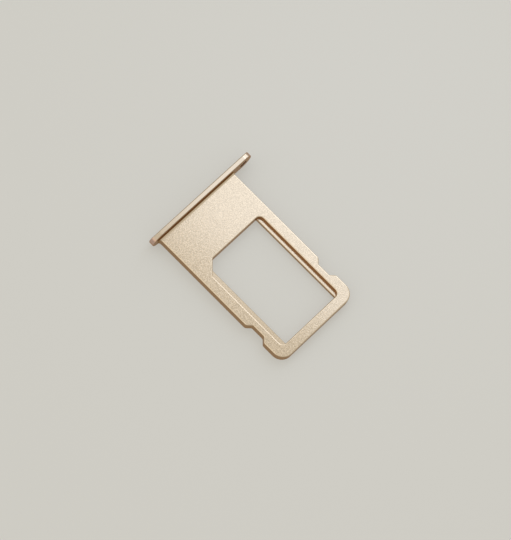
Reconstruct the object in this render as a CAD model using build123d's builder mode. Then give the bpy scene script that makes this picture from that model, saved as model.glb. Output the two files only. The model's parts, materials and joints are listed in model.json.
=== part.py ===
"""Nano SIM card tray: a slim crowned head with a flat pocketed plate behind it, milled as one piece.

Millimetres, +Z up. +Y is the way the tray slides in, +X is right as seen from in front of the head.
The origin lies under the middle of the tray's box, on the surface that the tray lies on.
"""
import math
import os

from build123d import *

# The card that the pocket holds, a nano SIM
card_length = 12.3
card_width = 8.8
card_thickness = 0.67

# Head: the bar that closes the slot, with round ends and a gently crowned outer face
hole_overhang = 2.89
plain_overhang = 1.05
head_height = 2.5
head_rim = 0.55
head_crown = 0.15
head_edge_radius = 0.1

# Plate behind the head
plate_length = 19.3
plate_thickness = 1.25
plate_lift = 0.15
plate_corner_radius = 1.4
top_edge_radius = 0.12
bottom_edge_break = 0.1
root_radius = 0.35

# Card pocket: ledges along its two long sides carry the card, which stands a little proud, and the rest
# is open right through
card_clearance = 0.1
card_proud = 0.1
side_rail = 1.28
far_rail = 1.28
pocket_corner_radius = 0.6
pocket_chamfer = 1.5
chamfer_end_radius = 0.25
left_ledge = 0.43
right_ledge = 0.63
ledge_edge_break = 0.05

# Latch notches in the two long sides, with ramps at 45 degrees
notch_from_end = 4.35
notch_floor = 1.7
notch_depth = 0.56
notch_outer_radius = 0.4
notch_inner_radius = 0.25

# Hole for the eject pin, in the longer overhang of the head
pin_diameter = 0.8
pin_clearance = 0.1
hole_edge_break = 0.08

# How near an edge has to lie to a place to be chosen there
near = 0.001

# Sizes that follow from these
pocket_length = card_length + 2 * card_clearance
pocket_width = card_width + 2 * card_clearance
pocket_depth = card_thickness - card_proud
window_width = pocket_width - left_ledge - right_ledge
plate_width = pocket_width + 2 * side_rail
head_length = plate_width + hole_overhang + plain_overhang
overall_length = head_rim + head_crown + plate_length
hole_radius = pin_diameter / 2 + pin_clearance

# Places that follow from these
front_y = -overall_length / 2
rim_y = front_y + head_crown
back_y = rim_y + head_rim
end_y = back_y + plate_length
pocket_y = end_y - far_rail - pocket_length / 2
notch_y = end_y - notch_from_end
left_x = -head_length / 2 + hole_overhang
right_x = head_length / 2 - plain_overhang
plate_x = (left_x + right_x) / 2
window_x = plate_x + (left_ledge - right_ledge) / 2
hole_x = -head_length / 2 + head_height / 2
head_middle_z = head_height / 2
plate_top = plate_lift + plate_thickness
ledge_top = plate_top - pocket_depth

# The root's rounding ends on the flat of the head, which is narrowest beside the plate's lower edge
flat_radius = head_height / 2 - head_edge_radius
flat_reach = math.sqrt(flat_radius**2 - (head_middle_z - plate_lift - bottom_edge_break) ** 2)
root_room = min(hole_overhang, plain_overhang) - head_height / 2 + flat_reach

# Head: a bar with a crowned outer face, cut to an outline with round ends
with BuildPart() as head:
    with BuildSketch(Plane.YZ.offset(-head_length / 2)):
        with BuildLine():
            Polyline((rim_y, 0), (back_y, 0), (back_y, head_height), (rim_y, head_height))
            ThreePointArc((rim_y, head_height), (front_y, head_middle_z), (rim_y, 0))
        make_face()
    extrude(amount=head_length)
    with BuildSketch(Plane.XZ.offset(-back_y)):
        with Locations((0, head_middle_z)):
            SlotOverall(head_length, head_height)
    extrude(amount=head_rim + head_crown, mode=Mode.INTERSECT)
    fillet(head.edges(), radius=head_edge_radius)

# Plate: outline with latch notches, card pocket with its window, and broken edges
with BuildPart() as plate:
    with BuildSketch(Plane.XY.offset(plate_lift)) as outline:
        with BuildLine():
            Polyline(
                (plate_x, back_y),
                (right_x, back_y),
                (right_x, notch_y - notch_floor / 2 - notch_depth),
                (right_x - notch_depth, notch_y - notch_floor / 2),
                (right_x - notch_depth, notch_y + notch_floor / 2),
                (right_x, notch_y + notch_floor / 2 + notch_depth),
                (right_x, end_y),
                (plate_x, end_y),
            )
            mirror(about=Plane.YZ.offset(plate_x))
        make_face()
        rows = outline.vertices().group_by(Axis.Y)
        fillet(rows[1] + rows[4], radius=notch_outer_radius)
        notch_rows = outline.vertices().filter_by_position(
            Axis.Y, notch_y - notch_floor / 2 - near, notch_y + notch_floor / 2 + near
        )
        fillet(notch_rows, radius=notch_inner_radius)
        fillet(outline.vertices().group_by(Axis.Y)[-1], radius=plate_corner_radius)
    extrude(amount=plate_thickness)

    with BuildSketch(Plane.XY.offset(plate_top)) as pocket:
        with Locations((plate_x, pocket_y)):
            Rectangle(pocket_width, pocket_length)
        chamfer(pocket.vertices().group_by(Axis.Y)[0].sort_by(Axis.X)[-1], length=pocket_chamfer)
        near_end = pocket.vertices().group_by(Axis.Y)[0].sort_by(Axis.X)[-1]
        far_end = pocket.vertices().group_by(Axis.X)[-1].sort_by(Axis.Y)[0]
        fillet([near_end, far_end], radius=chamfer_end_radius)
        far_right = pocket.vertices().group_by(Axis.Y)[-1].sort_by(Axis.X)[-1]
        fillet(pocket.vertices().group_by(Axis.X)[0] + [far_right], radius=pocket_corner_radius)
    extrude(amount=-pocket_depth, mode=Mode.SUBTRACT)

    with BuildSketch(Plane.XY.offset(plate_top)):
        add(pocket.sketch)
        with Locations((window_x, pocket_y)):
            Rectangle(window_width, pocket_length, mode=Mode.INTERSECT)
    extrude(amount=-plate_thickness, mode=Mode.SUBTRACT)

    ledge_lines = plate.edges().filter_by(Axis.Y)
    ledge_lines = ledge_lines.filter_by_position(Axis.Z, ledge_top - near, ledge_top + near)
    chamfer(ledge_lines.sort_by(Axis.X)[1:3], length=ledge_edge_break)
    fillet(plate.faces().sort_by(Axis.Z)[-1].edges().sort_by(Axis.Y)[1:], radius=top_edge_radius)
    chamfer(plate.faces().sort_by(Axis.Z)[0].edges().sort_by(Axis.Y)[1:], length=bottom_edge_break)

# Tray: head and plate as one piece, with a rounded root between them and the eject hole
with BuildPart() as tray:
    add(head.part)
    add(plate.part)
    roots = tray.edges().filter_by_position(Axis.Y, back_y - near, back_y + near)
    roots = roots.filter_by_position(Axis.X, left_x - near, right_x + near)
    roots = roots.filter_by_position(Axis.Z, plate_lift + bottom_edge_break, plate_top + near)
    fillet(roots, radius=min(root_radius, root_room - near))
    with Locations(Plane(origin=(hole_x, front_y, head_middle_z), z_dir=(0, -1, 0))):
        CounterSinkHole(hole_radius, hole_radius + hole_edge_break, counter_sink_angle=90)

tray.part.label = "sim_card_tray"
os.makedirs("parts", exist_ok=True)
export_step(tray.part, "parts/sim_card_tray.step")
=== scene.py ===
"""Nano SIM card tray in champagne-gold anodised aluminium, lying card side up on a pale surface."""

import json
import math

import bpy
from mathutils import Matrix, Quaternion, Vector

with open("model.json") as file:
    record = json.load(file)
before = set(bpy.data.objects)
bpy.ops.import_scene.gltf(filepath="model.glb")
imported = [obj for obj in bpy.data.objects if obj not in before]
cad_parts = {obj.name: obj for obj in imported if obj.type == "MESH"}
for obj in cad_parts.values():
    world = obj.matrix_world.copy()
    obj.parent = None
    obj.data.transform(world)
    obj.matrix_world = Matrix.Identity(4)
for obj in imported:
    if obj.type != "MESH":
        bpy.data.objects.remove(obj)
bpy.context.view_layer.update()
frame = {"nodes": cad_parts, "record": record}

MM = 0.001
NODE = "sim_card_tray"
mounts = {mount["name"]: Vector(mount["pos_m"]) for mount in frame["record"]["mounts"]}

# Camera at the photograph's angle, from high above the open side, in a 511 x 540 frame
FRAME_HEIGHT_PX = 540
FOCAL_PX = 3000
SENSOR = 36.0
CAMERA_AZIMUTH = 111.645
CAMERA_ELEVATION = 70.656
CAMERA_ROLL = 24.384
CAMERA_DISTANCE = 333.5 * MM
CAMERA_AIM = Vector((1.168, 0.36, 0.7)) * MM

# Colours of the finish, linear: bead-blasted faces; paler edges as a painted highlight; deeper walls, a
# darker line along the head's root and a darker back face of the head as painted shade; rosier ends of the
# head as a painted reflection
PLATE_COLOR = (0.618, 0.532, 0.436, 1)
GRAIN_COLOR = (0.459, 0.396, 0.324, 1)
# Painted highlight: the edge roundings are paler than the faces
EDGE_HIGHLIGHT_COLOR = (0.72, 0.62, 0.50, 1)
# Painted shade: the plate's walls are deeper, and the pocket's walls above the ledge deeper still
WALL_SHADE_COLOR = (0.50, 0.36, 0.24, 1)
POCKET_WALL_SHADE_COLOR = (0.37, 0.215, 0.12, 1)
# Painted shade: a darker line on the plate along the head's root
ROOT_SHADE_COLOR = (0.34, 0.21, 0.085, 1)
HEAD_COLOR = (0.52, 0.45, 0.377, 1)
# Painted shade on the head's back face, and a rosier painted reflection tint on the head's ends
HEAD_BACK_SHADE_COLOR = (0.50, 0.32, 0.20, 1)
HEAD_END_REFLECTION_COLOR = (0.61, 0.43, 0.355, 1)
HEAD_FRONT_COLOR = (0.62, 0.52, 0.42, 1)
GRAZING_TINT = (0.75, 0.60, 0.48, 1)

# Grain of the bead-blasted faces: cells per millimetre, relief, and the noise levels that its
# darkest and palest, and its smoothest and roughest spots lie at
GRAIN_PER_MM = 11.0
GRAIN_RELIEF = 0.006 * MM
GRAIN_COLOR_LEVELS = (0.25, 0.75)
GRAIN_ROUGHNESS_LEVELS = (0.3, 0.7)
GRAIN_ROUGHNESS = (0.16, 0.22)
SMOOTH_ROUGHNESS = 0.2

# How upright the normal is where a finish begins, and where it is there in full
LEVEL_FACE = (0.985, 0.995)
PLATE_WALL = (0.75, 0.35)
HEAD_WALL = (0.85, 0.6)

# The same for the two long faces of the head, by the normal's share along Y
HEAD_BACK = (0.3, 0.7)
HEAD_FRONT = (-0.3, -0.7)

# The same by height over the pocket's ledge
POCKET_WALL_RISE = (-0.04 * MM, -0.01 * MM)
BLASTED_RISE = (0.1 * MM, 0.3 * MM)

# Half the pocket's width and length, with its rounded rim
POCKET_REACH = Vector((4.6, 6.35)) * MM

# Width of a soft step between two finishes, and of the painted shade line along the head's root
SOFT_STEP = 0.05 * MM
ROOT_SHADE_REACH = 0.15 * MM

# Floor: half its side in metres, its finish, and the share of its brightness that is even, with its colour
FLOOR_HALF = 1.5
FLOOR_COLOR = (0.68, 0.705, 0.745, 1)
FLOOR_ROUGHNESS = 0.7
FLOOR_SPECULAR = 0.2
BACKDROP_SHARE = 0.62
BACKDROP_COLOR = (0.602, 0.586, 0.534, 1)

# Points this near the lowest level are the head's foot, and points this far behind it are the plate's
FOOT_LEVEL = 0.002 * MM
FOOT_CLEAR = 1.0 * MM

# Warm light from all round, where 1 is level with white. It is brighter from the head's side and falls off
# again towards the horizon there. The fades go by the Y share of the direction that the light comes from.
SKY_COLOR = (1.07, 1.0, 0.85, 1)
SKY_HEAD_SIDE = 1.1
SKY_FAR_SIDE = 0.65
SKY_FADE = (0.6, -0.45)
SKY_END_SHARE = 0.4
SKY_END_FADE = (-1.0, -0.5)

# Cool softbox close by, above the side with the eject hole
KEY_COLOR = (0.85, 1.0, 1.22)
KEY_RADIANCE = 0.72
KEY_SIZE = (34.6 * MM, 34.6 * MM)
KEY_PLACE = Vector((-29.85, -7.63, 46.47)) * MM

# Cool, tall and narrow softbox further off and lower, on the same side
WINDOW_COLOR = (0.90, 1.0, 1.15)
WINDOW_RADIANCE = 1.0
WINDOW_SIZE = (70 * MM, 200 * MM)
WINDOW_PLACE = Vector((-200, -40, 115)) * MM


def direction(azimuth, elevation):
    """Unit vector from the tray towards a viewer at these angles; azimuth 0 looks along +Y."""
    a = math.radians(azimuth)
    e = math.radians(elevation)
    return Vector((math.sin(a) * math.cos(e), -math.cos(a) * math.cos(e), math.sin(e)))


def add_object(name, data):
    """A new object in the scene that holds this data."""
    obj = bpy.data.objects.new(name, data)
    bpy.context.scene.collection.objects.link(obj)
    return obj


class Graph:
    """Short calls that add nodes to a shader tree and join them."""

    def __init__(self, owner):
        owner.use_nodes = True
        self.tree = owner.node_tree

    def node(self, kind, **settings):
        """Adds a node of this kind with these settings."""
        node = self.tree.nodes.new(kind)
        for key, value in settings.items():
            setattr(node, key, value)
        return node

    def put(self, value, socket):
        """Joins a node's output to a socket, or sets the socket to a plain value."""
        if isinstance(value, bpy.types.NodeSocket):
            self.tree.links.new(value, socket)
        else:
            socket.default_value = value

    def fill(self, node, *values):
        """Puts values into a node's inputs in order, passes over None, and gives its first output."""
        for value, socket in zip(values, node.inputs):
            if value is not None:
                self.put(value, socket)
        return node.outputs[0]

    def math(self, operation, *values):
        """A sum, product or other plain operation on these values."""
        return self.fill(self.node("ShaderNodeMath", operation=operation), *values)

    def ramp(self, value, low, high, to_low=0.0, to_high=1.0):
        """Maps low..high to to_low..to_high smoothly, and holds the ends."""
        node = self.node("ShaderNodeMapRange", interpolation_type="SMOOTHSTEP")
        return self.fill(node, value, low, high, to_low, to_high)

    def mix(self, share, first, second):
        """A colour between two others, by share of the second."""
        node = self.node("ShaderNodeMix", data_type="RGBA")
        self.put(share, node.inputs["Factor"])
        self.put(first, node.inputs["A"])
        self.put(second, node.inputs["B"])
        return node.outputs["Result"]

    def mix_value(self, share, first, second):
        """A number between two others, by share of the second."""
        node = self.node("ShaderNodeMix", data_type="FLOAT")
        return self.fill(node, share, None, first, second)

    def split(self, vector):
        """A vector's X, Y and Z."""
        node = self.node("ShaderNodeSeparateXYZ")
        self.put(vector, node.inputs[0])
        return node.outputs

    def within(self, value, middle, reach):
        """1 where the value is within reach of the middle, 0 beyond."""
        away = self.math("ABSOLUTE", self.math("SUBTRACT", value, middle))
        return self.ramp(away, reach + SOFT_STEP, reach)

    def noise(self, vector, scale):
        """Smooth noise with no finer layers."""
        node = self.node("ShaderNodeTexNoise")
        self.put(vector, node.inputs["Vector"])
        self.put(scale, node.inputs["Scale"])
        node.inputs["Detail"].default_value = 0.0
        return node.outputs["Fac"]


def tray_material():
    """Anodised aluminium: bead-blasted plate with a fine grain and a smoother head, with painted shade on
    the walls, along the head's root and on the head's back, a painted highlight on the edges and a rosier
    painted reflection on the head's ends.
    """
    material = bpy.data.materials.new("anodised_aluminium_finish")
    g = Graph(material)
    principled = g.tree.nodes["Principled BSDF"]
    coordinates = g.node("ShaderNodeTexCoord")
    place = coordinates.outputs["Object"]
    normal = g.split(coordinates.outputs["Normal"])
    axes = g.split(place)

    # Where each finish lies, and where the painted shade falls
    seat_y = mounts["head_seat"].y
    pocket = mounts["card_pocket"]
    on_head = g.ramp(axes["Y"], seat_y + SOFT_STEP, seat_y - SOFT_STEP)
    # Painted shade: the band of plate next to the head's root that is coloured darker
    root_shade = g.ramp(axes["Y"], seat_y + ROOT_SHADE_REACH, seat_y)
    over_ledge = g.math("SUBTRACT", axes["Z"], pocket.z)
    # Painted shade: the mask of the pocket's walls above the ledge, which are coloured darker
    pocket_wall_shade_mask = g.math("MULTIPLY", g.within(axes["X"], pocket.x, POCKET_REACH.x),
                       g.within(axes["Y"], pocket.y, POCKET_REACH.y))
    pocket_wall_shade_mask = g.math("MULTIPLY", pocket_wall_shade_mask, g.ramp(over_ledge, *POCKET_WALL_RISE))
    upright = g.math("ABSOLUTE", normal["Z"])
    level = g.ramp(upright, *LEVEL_FACE)
    wall = g.ramp(upright, *PLATE_WALL)
    blasted = g.math("MULTIPLY", level, g.math("SUBTRACT", 1.0, on_head))
    blasted = g.math("MULTIPLY", blasted, g.ramp(over_ledge, *BLASTED_RISE))

    # Colour, with painted shade on the walls, along the root and on the head's back, a painted highlight on
    # the edges and a painted reflection tint on the head's ends
    grain = g.noise(place, GRAIN_PER_MM / MM)
    top = g.mix(g.ramp(grain, *GRAIN_COLOR_LEVELS), GRAIN_COLOR, PLATE_COLOR)
    # Painted shade: walls darker, the pocket's walls darker still
    plate_wall_shade = g.mix(pocket_wall_shade_mask, WALL_SHADE_COLOR, POCKET_WALL_SHADE_COLOR)
    # Painted highlight: a paler colour on the edge roundings between level faces and walls
    plate = g.mix(wall, g.mix(level, EDGE_HIGHLIGHT_COLOR, top), plate_wall_shade)
    # Painted shade along the head's root
    plate = g.mix(root_shade, plate, ROOT_SHADE_COLOR)
    # Painted shade on the head's back face and painted reflection tint on its ends; the front keeps its own
    # colour
    head_wall_shade_and_reflection = g.mix(g.ramp(normal["Y"], *HEAD_BACK), HEAD_END_REFLECTION_COLOR, HEAD_BACK_SHADE_COLOR)
    head_wall_shade_and_reflection = g.mix(g.ramp(normal["Y"], *HEAD_FRONT), head_wall_shade_and_reflection, HEAD_FRONT_COLOR)
    head = g.mix(g.ramp(upright, *HEAD_WALL), HEAD_COLOR, head_wall_shade_and_reflection)
    g.put(g.mix(on_head, plate, head), principled.inputs["Base Color"])
    principled.inputs["Metallic"].default_value = 1.0
    principled.inputs["Specular Tint"].default_value = GRAZING_TINT

    # Roughness and relief
    grain_roughness = g.ramp(grain, *GRAIN_ROUGHNESS_LEVELS, *GRAIN_ROUGHNESS)
    g.put(g.mix_value(blasted, SMOOTH_ROUGHNESS, grain_roughness), principled.inputs["Roughness"])
    bump = g.node("ShaderNodeBump")
    bump.inputs["Distance"].default_value = GRAIN_RELIEF
    g.put(blasted, bump.inputs["Strength"])
    g.put(grain, bump.inputs["Height"])
    g.put(bump.outputs[0], principled.inputs["Normal"])
    return material


def floor_material():
    """Pale matt surface; part of its brightness is even, so that the tray's shadow stays faint."""
    material = bpy.data.materials.new("pale_surface")
    g = Graph(material)
    principled = g.tree.nodes["Principled BSDF"]
    principled.inputs["Base Color"].default_value = FLOOR_COLOR
    principled.inputs["Roughness"].default_value = FLOOR_ROUGHNESS
    principled.inputs["Specular IOR Level"].default_value = FLOOR_SPECULAR
    backdrop = g.node("ShaderNodeEmission")
    backdrop.inputs["Color"].default_value = BACKDROP_COLOR
    path = g.node("ShaderNodeLightPath").outputs
    seen = g.math("MAXIMUM", path["Is Camera Ray"], path["Is Glossy Ray"])
    seen = g.math("MAXIMUM", seen, path["Is Transmission Ray"])
    both = g.node("ShaderNodeMixShader")
    g.fill(both, g.math("MULTIPLY", seen, BACKDROP_SHARE), principled.outputs[0], backdrop.outputs[0])
    g.put(both.outputs[0], g.tree.nodes["Material Output"].inputs["Surface"])
    return material


def make_floor(tray):
    """A wide plane that touches the tray where it rests: the foot of the head and the plate's far end."""
    points = [vertex.co for vertex in tray.data.vertices]
    lowest = min(point.z for point in points)
    feet = [point for point in points if point.z < lowest + FOOT_LEVEL]
    foot = max(feet, key=lambda point: point.y)
    behind = [point for point in points if point.y > foot.y + FOOT_CLEAR]
    slope = min((point.z - foot.z) / (point.y - foot.y) for point in behind)
    square = ((-FLOOR_HALF, -FLOOR_HALF), (FLOOR_HALF, -FLOOR_HALF),
              (FLOOR_HALF, FLOOR_HALF), (-FLOOR_HALF, FLOOR_HALF))
    corners = [(x, y, foot.z + slope * (y - foot.y)) for x, y in square]
    mesh = bpy.data.meshes.new("floor")
    mesh.from_pydata(corners, [], [(0, 1, 2, 3)])
    mesh.materials.append(floor_material())
    floor = add_object("floor", mesh)


def make_world():
    """Soft light from all round."""
    world = bpy.data.worlds.new("soft_room")
    g = Graph(world)
    background = g.tree.nodes["Background"]
    background.inputs["Color"].default_value = SKY_COLOR
    along = g.split(g.node("ShaderNodeTexCoord").outputs["Generated"])["Y"]
    sides = g.ramp(along, *SKY_FADE, SKY_FAR_SIDE, SKY_HEAD_SIDE)
    end = g.ramp(along, *SKY_END_FADE, SKY_END_SHARE, 1.0)
    g.put(g.math("MULTIPLY", sides, end), background.inputs["Strength"])
    bpy.context.scene.world = world


def make_softbox(name, color, radiance, size, place):
    """A lamp of this width and height that faces the tray and is itself out of view."""
    lamp = bpy.data.lights.new(name, "AREA")
    lamp.shape = "RECTANGLE"
    lamp.size, lamp.size_y = size
    lamp.color = color
    lamp.energy = math.pi * lamp.size * lamp.size_y * radiance
    softbox = add_object(name, lamp)
    softbox.location = place
    softbox.rotation_mode = "QUATERNION"
    softbox.rotation_quaternion = (-place).to_track_quat("-Z", "Y")
    softbox.visible_camera = False


def make_camera():
    """A camera that looks at the tray from the photograph's angle, turned by its roll."""
    data = bpy.data.cameras.new("camera")
    data.sensor_width = SENSOR
    data.lens = SENSOR * FOCAL_PX / FRAME_HEIGHT_PX
    camera = add_object("camera", data)
    back = direction(CAMERA_AZIMUTH, CAMERA_ELEVATION)
    camera.location = CAMERA_AIM + back * CAMERA_DISTANCE
    camera.rotation_mode = "QUATERNION"
    roll = Quaternion((0, 0, 1), math.radians(CAMERA_ROLL))
    camera.rotation_quaternion = (-back).to_track_quat("-Z", "Y") @ roll
    bpy.context.scene.camera = camera


tray = frame["nodes"][NODE]
tray.material_slots[0].material = tray_material()
make_floor(tray)
make_world()
make_softbox("key_softbox", KEY_COLOR, KEY_RADIANCE, KEY_SIZE, KEY_PLACE)
make_softbox("window_softbox", WINDOW_COLOR, WINDOW_RADIANCE, WINDOW_SIZE, WINDOW_PLACE)
make_camera()
bpy.context.scene.view_settings.view_transform = "Standard"
